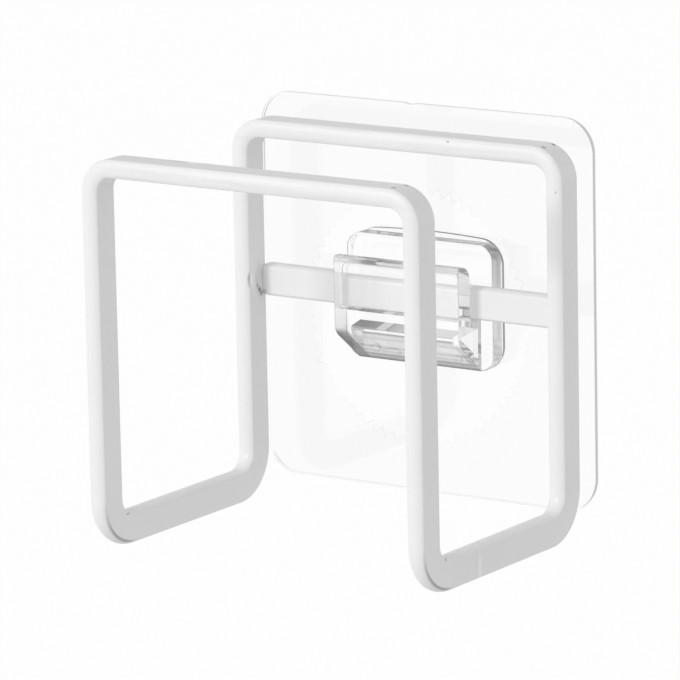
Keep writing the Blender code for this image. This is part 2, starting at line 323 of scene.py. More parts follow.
def addPaintedEdgeShade(tree, place, colour, finish):
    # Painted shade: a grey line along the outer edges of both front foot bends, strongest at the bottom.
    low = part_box("holder_frame")[0]
    radius = flatBar["footBend"]
    centre = (0, low.y + radius, low.z + radius)
    start = 1 * mm  # short of the bend's centre, so that the line comes up softly
    thin, soft = finish["edgeShadeLine"]
    down, forwards = finish["edgeShadeFade"]
    offset = addNode(tree, "VectorMath", subtract, {0: place, 1: centre})
    flat = addNode(tree, "VectorMath", multiply, {0: offset, 1: (0, 1, 1)})
    parts = addNode(tree, "SeparateXYZ", inputs={"Vector": flat}).outputs
    length = addNode(tree, "VectorMath", lengthOf, {0: flat})
    away = addNode(tree, "Math", subtract, {0: length, 1: radius - flatBar["crown"]})
    away = addNode(tree, "Math", absolute, {0: away})
    line = addNode(tree, "MapRange", smooth, {
        "Value": away, "From Min": thin, "From Max": soft, "To Min": 1, "To Max": 0,
    })
    lower = addNode(tree, "MapRange", smooth, {"Value": parts["Z"], "From Min": start, "From Max": -down})
    ahead = addNode(tree, "MapRange", smooth, {
        "Value": parts["Y"], "From Min": start, "From Max": -forwards, "To Max": finish["edgeShadeShare"],
    })
    share = addNode(tree, "Math", multiply, {0: line, 1: lower})
    share = addNode(tree, "Math", multiply, {0: share, 1: ahead})
    return addNode(tree, "Mix", mixColours, {
        "Factor": share, "A": colour, "B": toLinear(finish["edgeShadeColour"]),
    })


def addStreaks(tree, place, parts, colour, finish):
    # Long faint streaks from rolling the bar, only along the two top bars.
    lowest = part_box("holder_frame")[1].z - finish["streakDepth"]
    pitch = (1 / finish["streakLength"], 1 / finish["streakPitch"], 1 / finish["streakPitch"])
    drawn = addNode(tree, "VectorMath", multiply, {0: place, 1: pitch})
    streak = addNode(tree, "TexNoise", inputs={"Vector": drawn, "Scale": 1, "Detail": 2})
    start, end = finish["streakRange"]
    sharp = addNode(tree, "MapRange", inputs={
        "Value": streak, "From Min": start, "From Max": end, "To Max": finish["streakShare"],
    })
    high = addNode(tree, "MapRange", inputs={
        "Value": parts["Z"], "From Min": lowest, "From Max": lowest + finish["streakFade"],
    })
    share = addNode(tree, "Math", multiply, {0: sharp, 1: high})
    return addNode(tree, "Mix", mixColours, {
        "Factor": share, "A": colour, "B": toLinear(finish["streakColour"]),
    })


def makePowderCoat(finish, marksAndShade):
    material, tree, shader, place, parts = newMaterial("whitePowderCoatBaked")
    cloud = addNode(tree, "TexNoise", inputs={
        "Vector": place, "Scale": 1 / finish["cloudSize"], "Detail": 3,
    })
    painted = addNode(tree, "Mix", mixColours, {
        "Factor": cloud, "A": toLinear(finish["colour"]), "B": toLinear(finish["colourThin"]),
    })
    peel = addNode(tree, "TexNoise", inputs={
        "Vector": place, "Scale": 1 / finish["peelPitch"], "Detail": 2, "Roughness": 0.4,
    })
    bump = addNode(tree, "Bump", inputs={
        "Height": peel, "Distance": finish["peelDepth"], "Strength": 0.6,
    })
    gloss = addNode(tree, "MapRange", inputs={
        "Value": peel,
        "To Min": finish["roughness"] - finish["roughnessSpread"],
        "To Max": finish["roughness"] + finish["roughnessSpread"],
    })
    painted = addStreaks(tree, place, parts, painted, finish)
    painted = addPaintedEdgeShade(tree, place, painted, finish)
    painted = addMarksAndShade(tree, place, painted, marksAndShade, finish)
    linkNodes(tree, shader, {
        "Base Color": painted, "Roughness": gloss, "Normal": bump, "IOR": finish["ior"],
    })
    return material


# Clear plastics: refraction does most of the work, and light and shade are painted as flat greys on some
# faces.
# Faces that are glued together wet each other out, so they are left open, and light crosses the joints of
# plate, block, glue, film and adhesive unbent.

clearPlastic = {
    "colour": "#FFFFFF",
    "slant": (0.4, 0.95),  # painted shade: a face darkens to its rim shade colour between these slants
    "deepMirrors": 4.5,  # painted light: where light was mirrored inside more often than this, the plastic glows a plain pale grey
    "deepPaintedGrey": "#C8C8C8",
    "passing": (0.2, 0.5),  # how much a face has to look forwards or backwards to let the lamp through
    "shadeFrom": 1,  # X up to which the lamp's light passes, here beyond every piece
    "shadeFade": 0.3 * mm,
    "paintedShadingFade": (0.7, 0.95),  # how closely a face has to look the way of its painted shading
    "rimTurn": 1.5,  # for every rim, that is this less how far it looks along Y
}
# A moulding's clear faces are polished. Light and shade on some of them are painted by position as flat
# greys, which glow.
# way = direction that such a face looks (left out for every rim), bands = greys at mm along an axis of the
# frame, or at slopes of the face, limit = where it comes up: axis, none yet at this mm, full at this mm.
polycarbonate = dict(clearPlastic, **{
    "name": "clearPolycarbonateMoulded",  # polished in the mould, with crisp outlines and mirrors
    "shadeFrom": 15.6 * mm,
    "ior": 1.585,
    "shine": 0.5,
    "rimShadeColour": "#7A7C7C",
    "roughness": 0.015,
    "flowSize": 6 * mm,
    "flowDepth": 0.01 * mm,
    "paintedShading": [
        # The pocket's roof: painted shade, grey to the left, with a pale band, and paler to the right.
        {"way": (0, 0, -1), "share": 0.8, "axis": "X", "limit": ("Z", -8.5, -7.5), "bands": [
            (-10.5, "#7C7C7C"), (-7.5, "#828282"), (-4.6, "#989898"), (-4.4, "#D8D8D8"), (-2.2, "#DBDBDB"),
            (-2.1, "#868686"), (-1.7, "#ACACAC"), (0.6, "#C2C2C2"), (7.0, "#E6E6E6"), (14.0, "#E2E2E2"),
        ]},
        # The left end: painted light and shade, a pale strip beside the wall, darker beside the strut.
        {"way": (-1, 0, 0), "share": 0.55, "axis": "Z", "limit": ("X", -12.2, -13.2), "bands": [
            (-12.0, "#4E4E4E"), (-5.9, "#5C5C5C"), (-4.9, "#CCCCCC"), (-1.0, "#E2E2E2"), (10.0, "#F4F4F4"),
        ]},
        # The strut over the solid left cheek: painted shade in streaks.
        {"way": (0, -0.63, -0.78), "share": 0.5, "axis": "Z", "limit": ("X", -10.1, -10.7), "bands": [
            (-12.3, "#5E5E5E"), (-10.6, "#767676"), (-9.0, "#545454"), (-7.4, "#707070"), (-5.7, "#5C5C5C"),
        ]},
        # The strut over the pocket: painted shade, with faint lines along it.
        {"way": (0, -0.63, -0.78), "share": 0.36, "axis": "Z", "limit": ("X", -10.7, -10.1), "bands": [
            (-12.3, "#808080"), (-11.3, "#C4C4C4"), (-10.9, "#848484"), (-10.4, "#D4D4D4"),
            (-9.7, "#9C9C9C"), (-9.3, "#E0E0E0"), (-8.5, "#8E8E8E"), (-8.0, "#E4E4E4"), (-5.7, "#F0F0F0"),
        ]},
        # The strut's foot, where it is bonded to the plate: painted shade.
        {"way": (0, -0.63, -0.78), "share": 0.7, "axis": "X", "limit": ("Z", -11.5, -12.1), "bands": [
            (-13.7, "#7E7E7E"), (0.0, "#747474"), (16.2, "#7C7C7C"),
        ]},
        # The front left edge: a line of painted shade down it.
        {"way": (-0.71, -0.71, 0), "share": 0.6, "axis": "Z", "limit": ("X", -13.3, -13.5), "bands": [
            (-12.0, "#707070"), (-4.0, "#808080"), (-1.0, "#9C9C9C"), (10.2, "#909090"),
        ]},
    ],
})
platePolycarbonate = dict(polycarbonate, name="clearPolycarbonatePlate", shadeFrom=1, paintedShading=[
    # The right end: painted shade, streaky grey, darker towards the top corner, where the outlines show
    # strongly.
    {"way": (1, 0, 0), "share": 0.6, "axis": "Z", "limit": ("X", 17.0, 18.0), "bands": [
        (-12.5, "#CACACA"), (-8.0, "#DCDCDC"), (-4.0, "#CECECE"), (2.0, "#C8C8C8"), (8.0, "#ABABAB"),
        (12.9, "#8E8E8E"),
    ]},
    {"way": (0.77, 0, 0.64), "share": 0.5, "axis": "Z", "limit": ("X", 15.0, 17.0), "bands": [
        (9.0, "#A2A2A2"), (12.0, "#7A7A7A"), (13.4, "#949494"),
    ]},
    # The top, towards the glue line: painted shade.
    {"way": (0, 0, 1), "share": 0.6, "axis": "X", "limit": ("Y", -3.9, -3.3), "bands": [
        (-16.0, "#B4B4B4"), (-3.0, "#A2A2A2"), (3.0, "#B8B8B8"), (18.0, "#C4C4C4"),
    ]},
    # The left end: painted light, pale, with one thin line of painted shade down its front edge.
    {"way": (-1, 0, 0), "share": 0.85, "axis": "Z", "limit": ("X", -14.6, -15.6), "bands": [
        (0, "#FAFAFA"),
    ]},
    {"way": (-0.71, 0, 0.71), "share": 0.8, "axis": "Z", "limit": ("X", -12.0, -13.0), "bands": [
        (0, "#F4F4F4"),
    ]},
    {"way": (-0.71, -0.71, 0), "share": 0.6, "axis": "Z", "limit": ("X", -15.6, -15.9), "bands": [
        (0, "#888888"),
    ]},
])
# Painted light: the left edge of film and adhesive shows near white, apart from its top.
paleLeftEdge = {
    "way": (-1, 0, 0), "share": 0.95, "axis": "Z", "limit": ("Z", 24.0, 16.0), "bands": [(0, "#FDFDFD")],
}
polyesterFilm = dict(clearPlastic, **{
    "name": "clearPolyesterFilmCast",  # cast smooth, so that it shows no more than its cut rim
    "ior": 1.57,
    "shine": 0.06,
    "rimShadeColour": "#A8AAAA",
    "roughness": 0.02,
    "flowSize": 18 * mm,
    "flowDepth": 0.02 * mm,
    "paintedShading": [
        # Painted light and shade on the cut rims, by their slope.
        {"share": 0.9, "axis": "slope", "bands": [
            (-1.0, "#F4F4F4"), (-0.75, "#DADADA"), (-0.4, "#BDBDBD"), (0.75, "#C0C0C0"), (1.0, "#E2E2E2"),
        ]},
        paleLeftEdge,
    ],
})
gelAdhesive = dict(clearPlastic, **{
    "name": "clearAcrylicGelCoated",  # laid on as a soft coat, which greys the light a little
    "colour": "#FEFEFE",
    "ior": 1.48,
    "shine": 0.03,  # soft, so that it hardly mirrors
    "rimShadeColour": "#C4C6C6",
    "roughness": 0.06,
    "flowSize": 9 * mm,
    "flowDepth": 0.02 * mm,
    "paintedShading": [
        # Painted light and shade on the cut rims, by their slope.
        {"share": 0.9, "axis": "slope", "bands": [
            (-1.0, "#F6F6F6"), (-0.75, "#E0E0E0"), (-0.4, "#C4C4C4"), (0.75, "#C8C8C8"), (1.0, "#EAEAEA"),
        ]},
        paleLeftEdge,
    ],
    # Where the gel has wetted out in the middle, its edge runs round in small teeth.
    "ring": {
        "centre": (-2.75 * mm, -3.9 * mm),  # X and Z
        "radius": 25.6 * mm,
        "teeth": 62,
        "toothHeight": 1.6 * mm,
        "lineWidth": 0.45 * mm,
        "line": "#EDEDED",
        "outside": "#FAFAFA",
        "patchSize": 9 * mm,
        "gaps": (0.35, 0.6),  # of a patchy noise, between which the line comes up
    },
})
clearGlue = dict(clearPlastic, **{
    "name": "clearGluePressed",  # pressed out round the plate; the dark line along its bead is painted shade
    "colour": "#FDFDFD",
    "ior": 1.5,
    "shine": 0.1,
    "rimShadeColour": "#B8BABA",
    "roughness": 0.05,
    "flowSize": 4 * mm,
    "flowDepth": 0.02 * mm,
    "paintedShading": [
        # Painted shade on the bead's rims, by their slope.
        {"share": 0.85, "axis": "slope", "bands": [
            (-1.0, "#DCDCDC"), (-0.4, "#A8A8A8"), (0.3, "#808080"), (1.0, "#787878"),
        ]},
    ],
})


def addPaintedShading(tree, parts, normal, slope, seen, paintedShading, finish):
    # Paints light and shade: mixes a flat grey, which glows as emission, over the faces that look one way,
    # or over all rims.
    if "way" in paintedShading:
        facing = addNode(tree, "VectorMath", {"operation": "DOT_PRODUCT"}, {
            0: normal, 1: paintedShading["way"],
        })
    else:
        flat = addNode(tree, "Math", absolute, {0: slope["Y"]})
        facing = addNode(tree, "Math", subtract, {0: finish["rimTurn"], 1: flat})
    start, end = finish["paintedShadingFade"]
    share = addNode(tree, "MapRange", smooth, {
        "Value": facing, "From Min": start, "From Max": end, "To Max": paintedShading["share"],
    })
    if "limit" in paintedShading:
        axis, start, end = paintedShading["limit"]
        within = addNode(tree, "MapRange", inputs={
            "Value": parts[axis], "From Min": start * mm, "From Max": end * mm,
        })
        share = addNode(tree, "Math", multiply, {0: share, 1: within})
    bands = paintedShading["bands"]
    bySlope = paintedShading["axis"] == "slope"
    unit = 1 if bySlope else mm
    first = bands[0][0]
    reach = bands[-1][0] - first or 1
    along = addNode(tree, "MapRange", inputs={
        "Value": slope["Z"] if bySlope else parts[paintedShading["axis"]],
        "From Min": first * unit,
        "From Max": (first + reach) * unit,
    })
    ramp = addNode(tree, "ValToRGB", inputs={"Fac": along})
    stops = ramp.color_ramp.elements
    stops.remove(stops[-1])
    for index, (level, code) in enumerate(bands):
        position = (level - first) / reach
        stop = stops.new(position) if index else stops[0]
        stop.position = position
        stop.color = toLinear(code)
    grey = addNode(tree, "Emission", inputs={"Color": ramp, "Strength": 1})
    return addNode(tree, "MixShader", inputs={0: share, 1: seen, 2: grey})


def addRing(tree, place, parts, colour, ring):
    # The toothed edge of a wetted-out patch: a faint broken line, and a touch of grey outside it.
    width = ring["lineWidth"]
    across = addNode(tree, "Math", subtract, {0: parts["X"], 1: ring["centre"][0]})
    along = addNode(tree, "Math", subtract, {0: parts["Z"], 1: ring["centre"][1]})
    flat = addNode(tree, "CombineXYZ", inputs={"X": across, "Y": along})
    radius = addNode(tree, "VectorMath", lengthOf, {0: flat})
    angle = addNode(tree, "Math", {"operation": "ARCTAN2"}, {0: along, 1: across})
    turns = addNode(tree, "Math", multiply, {0: angle, 1: ring["teeth"] / (2 * math.pi)})
    tooth = addNode(tree, "Math", {"operation": "PINGPONG"}, {0: turns, 1: 0.5})
    patch = addNode(tree, "TexNoise", inputs={
        "Vector": place, "Scale": 1 / ring["patchSize"], "Detail": 2,
    })
    # Uneven teeth: the noise, about a half, drives both how high they are and how far out they stand.
    tall = addNode(tree, "Math", multiply, {0: tooth, 1: patch})
    reach = addNode(tree, "Math", {"operation": "MULTIPLY_ADD"}, {
        0: tall, 1: 4 * ring["toothHeight"], 2: ring["radius"],
    })
    beyond = addNode(tree, "Math", subtract, {0: radius, 1: reach})
    outside = addNode(tree, "MapRange", smooth, {
        "Value": beyond, "From Min": -width, "From Max": width,
    })
    away = addNode(tree, "Math", absolute, {0: beyond})
    line = addNode(tree, "MapRange", smooth, {
        "Value": away, "From Min": 0, "From Max": width, "To Min": 1, "To Max": 0,
    })
    broken = addNode(tree, "MapRange", inputs={
        "Value": patch, "From Min": ring["gaps"][0], "From Max": ring["gaps"][1],
    })
    share = addNode(tree, "Math", multiply, {0: line, 1: broken})
    greyed = addNode(tree, "Mix", mixColours, {
        "Factor": outside, "A": colour, "B": toLinear(ring["outside"]),
    })
    return addNode(tree, "Mix", mixColours, {
        "Factor": share, "A": greyed, "B": toLinear(ring["line"]),
    })


def makeClearPlastic(finish):
    material, tree, shader, place, parts = newMaterial(finish["name"])
    flow = addNode(tree, "TexNoise", inputs={
        "Vector": place, "Scale": 1 / finish["flowSize"], "Detail": 1,
    })
    bump = addNode(tree, "Bump", inputs={
        "Height": flow, "Distance": finish["flowDepth"], "Strength": 0.5,
    })
    haze = addNode(tree, "MapRange", inputs={"Value": flow, "To Max": 2 * finish["roughness"]})
    # Painted shade: seen at a slant, a face darkens towards its rim shade colour.
    slant = addNode(tree, "LayerWeight", inputs={"Blend": 0.5})
    slanted = addNode(tree, "MapRange", inputs={
        "Value": slant.outputs["Facing"], "From Min": finish["slant"][0], "From Max": finish["slant"][1],
    })
    plain = toLinear(finish["colour"])
    if "ring" in finish:
        plain = addRing(tree, place, parts, plain, finish["ring"])
    tint = addNode(tree, "Mix", mixColours, {
        "Factor": slanted, "A": plain, "B": toLinear(finish["rimShadeColour"]),
    })
    linkNodes(tree, shader, {
        "Base Color": tint,
        "Roughness": haze,
        "Normal": bump,
        "IOR": finish["ior"],
        "Specular IOR Level": finish["shine"],
        "Transmission Weight": 1,
    })
    # Painted light: where light has zigzagged inside many times, the plastic glows a plain pale grey, as
    # through a sheet's edge.
    path = addNode(tree, "LightPath").outputs
    deep = addNode(tree, "Math", moreThan, {
        0: path["Glossy Depth"], 1: finish["deepMirrors"],
    })
    grey = addNode(tree, "Emission", inputs={"Color": toLinear(finish["deepPaintedGrey"]), "Strength": 1})
    shown = addNode(tree, "MixShader", inputs={0: deep, 1: shader, 2: grey})
    # The normal is flipped where a face is met from inside, and is turned back outwards here.
    facing = addNode(tree, "TexCoord").outputs["Normal"]
    inside = addNode(tree, "NewGeometry").outputs["Backfacing"]
    turn = addNode(tree, "Math", {"operation": "MULTIPLY_ADD"}, {0: inside, 1: -2, 2: 1})
    facing = addNode(tree, "VectorMath", {"operation": "SCALE"}, {0: facing, "Scale": turn})
    slope = addNode(tree, "SeparateXYZ", inputs={"Vector": facing}).outputs
    for paintedShading in finish["paintedShading"]:
        shown = addPaintedShading(tree, parts, facing, slope, shown, paintedShading, finish)
    # The lamp shines through from front to back, but what enters in front can't leave by an end or an edge,
    # and near the block's right end it is turned away as well.
    straight = addNode(tree, "Math", absolute, {0: slope["Y"]})
    passing = addNode(tree, "MapRange", inputs={
        "Value": straight, "From Min": finish["passing"][0], "From Max": finish["passing"][1],
    })
    clear = addNode(tree, "MapRange", inputs={
        "Value": parts["X"],
        "From Min": finish["shadeFrom"],
        "From Max": finish["shadeFrom"] - finish["shadeFade"],
    })
    passed = addNode(tree, "Math", multiply, {0: passing, 1: clear})
    through = addNode(tree, "BsdfTransparent", inputs={"Color": passed})
    surface = addNode(tree, "MixShader", inputs={
        0: path["Is Shadow Ray"], 1: shown, 2: through,
    })
    linkNodes(tree, tree.nodes["Material Output"], {"Surface": surface})
    return material


# Bent flat bar: one closed loop of rolled bar with flat wide faces and bowed narrow ones

flatBar = {
    "thickness": 3.7 * mm,
    "width": 6.9 * mm,
    "crown": 0.75 * mm,  # how far the narrow faces bow out
    "crownPower": 0.68,  # 0.5 bows them as half an ellipse, and 1 as a parabola
    "topBend": 7.0 * mm,  # outer radius, bent flatwise
    "footBend": 10.2 * mm,  # outer radius, bent edgewise
    "bendSteps": 26,
    "domeSteps": 14,
    "step": 1.5 * mm,  # spacing of the rings on the straight runs
    "thinning": 0.10,  # how much the bar thins outside an edgewise bend
    "thinningPower": 0.7,  # below 1 it sets in early
    "wave": 0.02 * mm,  # unevenness left by rolling and coating
    "waveLength": 9 * mm,
}

coat = makePowderCoat(powderCoat, coatMarksAndShade)


def barSection(thickness, width, crown, steps):
    # Anticlockwise: u across the thickness, v across the width.
    guard = 0.2 * mm  # a point close to each corner keeps the wide faces flat in the light
    points = []
    for side in (1, -1):
        level = width / 2 - crown
        for step in range(steps + 1):
            angle = math.pi * step / steps
            bow = crown * math.sin(angle) ** (2 * flatBar["crownPower"])
            points.append((side * thickness / 2 * math.cos(angle), side * (level + bow)))
        points.append((-side * thickness / 2, side * (level - guard)))
        points.append((-side * thickness / 2, 0))
        points.append((-side * thickness / 2, -side * (level - guard)))
    return points


def bendStations(corner, wayIn, wayOut, outerRadius, edgewise):
    depth = flatBar["width"] if edgewise else flatBar["thickness"]
    radius = outerRadius - depth / 2
    centre = corner + radius * (wayOut - wayIn)
    stations = []
    for step in range(flatBar["bendSteps"] + 1):
        share = step / flatBar["bendSteps"]
        angle = quarterTurn * share
        along = math.cos(angle) * wayIn + math.sin(angle) * wayOut
        inward = math.cos(angle) * wayOut - math.sin(angle) * wayIn
        thin = along.cross(inward) if edgewise else -inward
        wide = inward if edgewise else thin.cross(along)
        bulge = math.sin(math.pi * share) ** flatBar["thinningPower"]
        thinning = flatBar["thinning"] * bulge if edgewise else 0
        stations.append((centre - radius * inward, thin, wide, thinning))
    return stations


def fillStraights(stations, spacing):
    filled = []
    for first, second in zip(stations, stations[1:] + stations[:1]):
        filled.append(first)
        count = int((second[0] - first[0]).length / spacing)
        for step in range(1, count):
            filled.append((first[0].lerp(second[0], step / count), first[1], first[2], 0))
    return filled


def barRings(stations, section, halfWidth):
    rings = []
    for centre, thin, wide, thinning in stations:
        ring = []
        for u, v in section:
            thick = u * (1 + thinning * min(0, v / halfWidth))
            point = centre + thick * thin + v * wide
            outward = (u * thin + v * wide).normalized()
            # The unevenness only goes inwards, so that the bar keeps within its size.
            wave = 0.5 + 0.5 * noise.noise(point / flatBar["waveLength"])
            ring.append(point - flatBar["wave"] * wave * outward)
        rings.append(ring)
    return rings


def buildFrame():
    low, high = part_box("holder_frame")
    bar = flatBar
    middle = (low.x + high.x) / 2
    side = high.x - middle - bar["thickness"] / 2
    top = high.z - bar["thickness"] / 2
    runner = low.z + bar["width"] / 2
    front = low.y + bar["width"] / 2
    rear = high.y - bar["width"] / 2
    bends = [
        (-side, front, top, up, right, False),
        (side, front, top, right, -up, False),
        (side, front, runner, -up, back, True),
        (side, rear, runner, back, up, True),
        (side, rear, top, up, -right, False),
        (-side, rear, top, -right, -up, False),
        (-side, rear, runner, -up, -back, True),
        (-side, front, runner, -back, up, True),
    ]
    stations = []
    for x, y, z, wayIn, wayOut, edgewise in bends:
        outerRadius = bar["footBend"] if edgewise else bar["topBend"]
        stations += bendStations(Vector((middle + x, y, z)), wayIn, wayOut, outerRadius, edgewise)
    stations = fillStraights(stations, bar["step"])
    section = barSection(bar["thickness"], bar["width"], bar["crown"], bar["domeSteps"])
    shape = sweep(barRings(stations, section, bar["width"] / 2), True)
    addPiece("bentFlatBarFrame", shape, coat, "holder", "white_powder_coat", ["holder_frame"])


buildFrame()
print("frame bent")


# Crossbar, welded between the rear legs

crossbar = {
    "thickness": 3.4 * mm,
    "height": 6.9 * mm,
    "crown": 0.75 * mm,
    "intoLeg": 0.5 * mm,
    "swellLength": 4.5 * mm,  # the weld's heat leaves the end of the front face a little proud
    "swell": 0.35 * mm,
    "endRound": 1.3 * mm,  # length over which the dressed end rounds off to the crease at the leg
    "crease": 0.45 * mm,
    "endRings": 8,
    "lump": 0.35,  # unevenness of the weld, as a share of it
    "lumpSize": 1.1 * mm,
    "step": 1.2 * mm,
}


def buildCrossbar():
    low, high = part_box("crossbar")
    legLow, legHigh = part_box("holder_frame")
    bar = crossbar
    middleX = (legLow.x + legHigh.x) / 2
    end = legHigh.x - middleX - flatBar["thickness"] + bar["intoLeg"]
    middleY = high.y - bar["thickness"] / 2
    middleZ = (low.z + high.z) / 2
    section = barSection(bar["thickness"], bar["height"], bar["crown"], flatBar["domeSteps"])
    count = int(2 * end / bar["step"])
    places = [-end + 2 * end * step / count for step in range(count + 1)]
    for ring in range(bar["endRings"] + 1):
        offset = bar["intoLeg"] + bar["endRound"] * (ring / bar["endRings"]) ** 2
        places += [-end + offset, end - offset]
    rings = []
    for x in sorted(set(places)):
        distance = max(0, end - bar["intoLeg"] - abs(x))
        reach = max(0, 1 - distance / bar["swellLength"])
        swell = bar["swell"] * reach ** 2 * (3 - 2 * reach)
        close = max(0, 1 - distance / bar["endRound"])
        crease = bar["crease"] * (1 - math.sqrt(1 - close ** 2))
        ring = []
        for u, v in section:
            lump = 1 + bar["lump"] * noise.noise(Vector((x, u, v)) / bar["lumpSize"])
            point = Vector((middleX + x, middleY, middleZ)) + u * back + v * up
            out = Vector((0, u / bar["thickness"], v / bar["height"]))
            inward = crease * lump * out.normalized() * min(1, 2 * out.length)
            forward = swell * lump * max(0, -2 * u / bar["thickness"]) * back
            ring.append(point - inward - forward)
        rings.append(ring)
    shape = sweep(rings, False)
    addPiece("weldedCrossbar", shape, coat, "holder", "white_powder_coat", ["crossbar"])


buildCrossbar()
print("crossbar welded")


# Hook block: slot for the crossbar in front, and a pocket cored out of its back

hookBlock = {
    "edge": 0.3 * mm,
    "wall": 4.55 * mm,
    "lipRadius": 3.0 * mm,
    "lipEdge": 0.7 * mm,
    "slotDepth": 11.7 * mm,
    "slotFillet": 1.0 * mm,
    "floor": 2.9 * mm,  # slot floor at the pocket's front corner
    "footDrop": 1.25 * mm,
    "footRadius": 3.0 * mm,
    "pocketSetback": 1.65 * mm,
    "pocketRise": 0.8 * mm,
    "pocketLift": 2.7 * mm,
    "pocketRounding": 0.35 * mm,
    "leftCheek": 3.2 * mm,
    "rightCheek": 2.3 * mm,
}


def roundCorner(corners, index, radius, steps):
    # The outline with one of its corners rounded.
    corner = corners[index]
    toLast = (corners[index - 1] - corner).normalized()
    toNext = (corners[(index + 1) % len(corners)] - corner).normalized()
    half = math.acos(toLast.dot(toNext)) / 2
    centre = corner + (toLast + toNext).normalized() * radius / math.sin(half)
    first = corner + toLast * radius / math.tan(half) - centre
    last = corner + toNext * radius / math.tan(half) - centre
    rounding = [centre + first.lerp(last, step / steps).normalized() * radius for step in range(steps + 1)]
    return corners[:index] + rounding + corners[index + 1:]


def blockOutlines(block, front, rear, wallTop, strutFoot):
    slotFront = front + block["wall"]
    slotFloor = wallTop - block["slotDepth"]
    pocketCorner = slotFloor - block["floor"]
    wallFoot = pocketCorner - block["footDrop"]
    slant = math.atan2(rear - front, wallFoot - strutFoot)
    lip = block["lipRadius"]
    edge = block["lipEdge"]
    fillet = block["slotFillet"]
    foot = block["footRadius"]
    outline = [(rear, strutFoot)]
    footCentre = (front + foot, wallFoot + foot * math.tan(slant / 2))
    outline += roundArc(footCentre, foot, 180 + math.degrees(slant), 180, 14)
    outline += roundArc((front + edge, wallTop - edge), edge, 180, 90, 8)
    outline += roundArc((slotFront - lip, wallTop - lip), lip, 90, 0, 20)
    outline += roundArc((slotFront + fillet, slotFloor + fillet), fillet, 180, 270, 10)
    outline.append((rear, slotFloor))
    mouth = strutFoot + block["pocketLift"]
    tip = Vector((front + block["pocketSetback"], pocketCorner))
    pocket = [Vector((rear, mouth)), tip, Vector((rear, pocketCorner + block["pocketRise"]))]
    return outline, roundCorner(pocket, 1, block["pocketRounding"], 6)


def buildHookBlock():
    block = hookBlock
    low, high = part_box("hook_block")
    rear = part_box("hook_plate")[0].y
    width = high.x - low.x
    outline, pocketOutline = blockOutlines(block, low.y, rear, high.z, low.z)
    shape = prism(outline, lambda y, z: Vector((low.x, y, z)), width * right)
    roundRims(shape, block["edge"], 5)
    blockLoop = openCap(shape, 1)[0]
    start = low.x + block["leftCheek"]
    pocketWidth = width - block["leftCheek"] - block["rightCheek"]
    pocket = prism(pocketOutline, lambda y, z: Vector((start, y, z)), pocketWidth * right)
    mouthLoop = openCap(pocket, 1)[0]
    bmesh.ops.reverse_faces(pocket, faces=pocket.faces)
    takeIn(shape, pocket)
    addPiece("mouldedHookBlock", shape, clearMoulding, "wall_mount", "clear_polycarbonate", ["hook_block"])
    return blockLoop, mouthLoop


# Hook plate: a thick clear rounded plate

hookPlate = {
    "corner": 3.2 * mm,
    "edge": 0.6 * mm,
    "backEdge": 0.25 * mm,
}


def buildHookPlate(blockLoop, mouthLoop):
    low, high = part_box("hook_plate")
    centre = Vector(((low.x + high.x) / 2, high.y, (low.z + high.z) / 2))
    outline = roundedRectangle(high.x - low.x, high.z - low.z, hookPlate["corner"], 14)
    shape = prism(outline, lambda u, v: centre + u * right + v * up, (low.y - high.y) * back)
    roundRims(shape, hookPlate["edge"], 5, -1)
    roundRims(shape, hookPlate["backEdge"], 4, 1)
    # In front the plate is open where the block is bonded to it, and closed again at the pocket's mouth.
    rim = openCap(shape, -1)[1]
    fillBetween(shape, rim + addLoop(shape, blockLoop), -1)
    fillBetween(shape, addLoop(shape, mouthLoop), -1)
    gluedLoop = openCap(shape, 1)[0]
    addPiece("mouldedHookPlate", shape, clearPlate, "wall_mount", "clear_polycarbonate", ["hook_plate"])
    return gluedLoop


clearMoulding = makeClearPlastic(polycarbonate)
clearPlate = makeClearPlastic(platePolycarbonate)
plateLoop = buildHookPlate(*buildHookBlock())
print("hook moulded")


# Film, adhesive and glue line: thin clear layers, open towards each other where they are bonded

gluePuddles = {
    "rings": 8,
    "steps": 40,
    "uneven": 0.3,
    "sunk": 0.02,  # mm
    # Glue that ran into the pocket, on the plate's face, in mm: centre, reach across, up and forwards.
    "places": [
        ((-4.9, -9.15), (2.5, 0.62, 0.4)),
        ((-8.6, -8.7), (1.1, 0.8, 0.6)),
        ((-10.0, -8.9), (0.5, 0.5, 0.35)),
        ((3.5, -9.3), (1.6, 0.45, 0.3)),
        ((11.3, -9.0), (0.9, 0.7, 0.4)),
    ],
}
layers = {
    "film": {"corner": 7.0 * mm, "edge": 0.06 * mm, "notch": 0.28 * mm},  # for the adhesive behind it too
    "glue": {"corner": 4.8 * mm, "edge": 0.34 * mm, "crown": 0.8 * mm},  # pressed out, with a round bead
    "notchPlace": -3.3 * mm,  # a nick in the film's top edge
    "notchWidth": 2.8 * mm,
    "cornerSteps": 16,
    "sideSteps": 120,
}


def layerShape(node, backY, frontY, corner, edge, crown=0, notch=0):
    low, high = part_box(node)
    centre = Vector(((low.x + high.x) / 2, backY, (low.z + high.z) / 2))
    width = high.x - low.x
    height = high.z - low.z - 2 * crown
    steps = layers["sideSteps"]
    outline = []
    corners = roundedRectangle(width, height, corner, layers["cornerSteps"])
    for first, second in zip(corners, corners[1:] + corners[:1]):
        outline.append(first)
        if abs(second[0] - first[0]) > corner:
            for step in range(1, steps):
                outline.append((first[0] + (second[0] - first[0]) * step / steps, first[1]))
    bowed = []
    for u, v in outline:
        nick = 1 - (2 * (u - layers["notchPlace"]) / layers["notchWidth"]) ** 2
        depth = notch * max(0, nick) if v > 0 else 0
        bow = 2 * crown * (1 - (2 * u / width) ** 2) / height
        bowed.append((u, v * (1 + bow) - depth))
    shape = prism(bowed, lambda u, v: centre + u * right + v * up, (frontY - backY) * back)
    roundRims(shape, edge, 4)
    return shape


